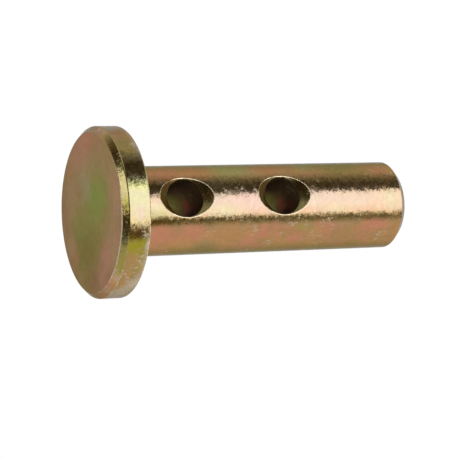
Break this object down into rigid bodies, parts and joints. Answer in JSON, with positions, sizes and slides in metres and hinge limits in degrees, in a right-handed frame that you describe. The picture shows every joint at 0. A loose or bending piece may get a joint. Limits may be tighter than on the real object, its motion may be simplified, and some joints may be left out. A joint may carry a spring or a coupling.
{
  "type": "drive pin",
  "caption": "Round-headed steel pin with a bevelled flat head, a plain shank, countersunk cross holes and a chamfered tip.",
  "frame": {"origin": "centre of the head's flat outer face, which the pin stands on", "axes": "+Z along the shank from the head to the tip; Y along the cross holes; -Y is the side of the cross holes that the picture shows"},
  "size_m": [0.03, 0.03, 0.0594],
  "materials": {
    "plated_steel": "yellow-chromate zinc plate, satin to semi-gloss, with iridescent patches and light scuffs"
  },
  "bodies": {
    "root": {"drive_pin": "plated_steel"}
  },
  "joints": []
}
